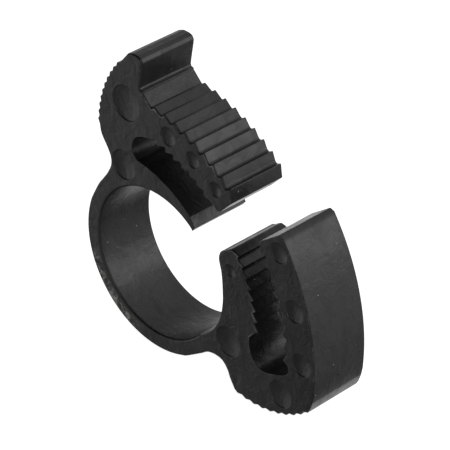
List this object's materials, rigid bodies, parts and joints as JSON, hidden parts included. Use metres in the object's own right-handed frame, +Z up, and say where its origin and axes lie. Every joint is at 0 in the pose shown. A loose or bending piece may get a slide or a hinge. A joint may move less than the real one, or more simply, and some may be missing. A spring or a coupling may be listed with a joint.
{
  "type": "ratchet hose clip",
  "caption": "Plastic ratchet hose clip, pushed on from the side: a flexible ring with two toothed jaws that interlock round a hose and slide apart sideways to release.",
  "frame": {"origin": "middle of the clip's length and width, on the floor under its ring", "axes": "+Z up as the clip stands on its ring and lower jaw, Y along the hose's axis with the marked face towards -Y, +X towards the guard of the lower jaw; the jaws open towards +X +Z"},
  "size_m": [0.0456, 0.01, 0.0467],
  "materials": {
    "black_nylon": "satin injection-moulded black nylon"
  },
  "bodies": {
    "band_back": {"band_back": "black_nylon"},
    "band_upper": {"band_upper": "black_nylon"},
    "band_lower": {"band_lower": "black_nylon"},
    "upper_jaw": {"neck_upper": "black_nylon", "upper_jaw_block": "black_nylon", "stop_lug": "black_nylon", "toothed_arm": "black_nylon", "inner_lip": "black_nylon"},
    "lower_jaw": {"neck_lower": "black_nylon", "lower_jaw_block": "black_nylon", "toothed_tongue": "black_nylon", "guard_shroud": "black_nylon"}
  },
  "joints": [
    {"name": "release_upper", "type": "slide", "parent": "band_back", "child": "band_upper", "axis": [0, 1, 0], "range_m": [-0.00525, 0.00525], "stiffness_N_per_m": 3000},
    {"name": "release_lower", "type": "slide", "parent": "band_back", "child": "band_lower", "axis": [0, -1, 0], "range_m": [-0.00525, 0.00525], "stiffness_N_per_m": 3000},
    {"name": "flex_upper", "type": "hinge", "parent": "band_upper", "child": "upper_jaw", "pos_m": [-0.0215, 0, 0.01589], "axis": [0, 1, 0], "range_deg": [-6, 13.25], "stiffness_Nm_per_rad": 1},
    {"name": "flex_lower", "type": "hinge", "parent": "band_lower", "child": "lower_jaw", "pos_m": [-0.00696, 0, 0.00135], "axis": [0, -1, 0], "range_deg": [-6, 13.25], "stiffness_Nm_per_rad": 1}
  ],
  "couplings": [
    {"joint": "flex_lower", "follows": "flex_upper", "ratio": 1},
    {"joint": "release_lower", "follows": "release_upper", "ratio": 1}
  ]
}
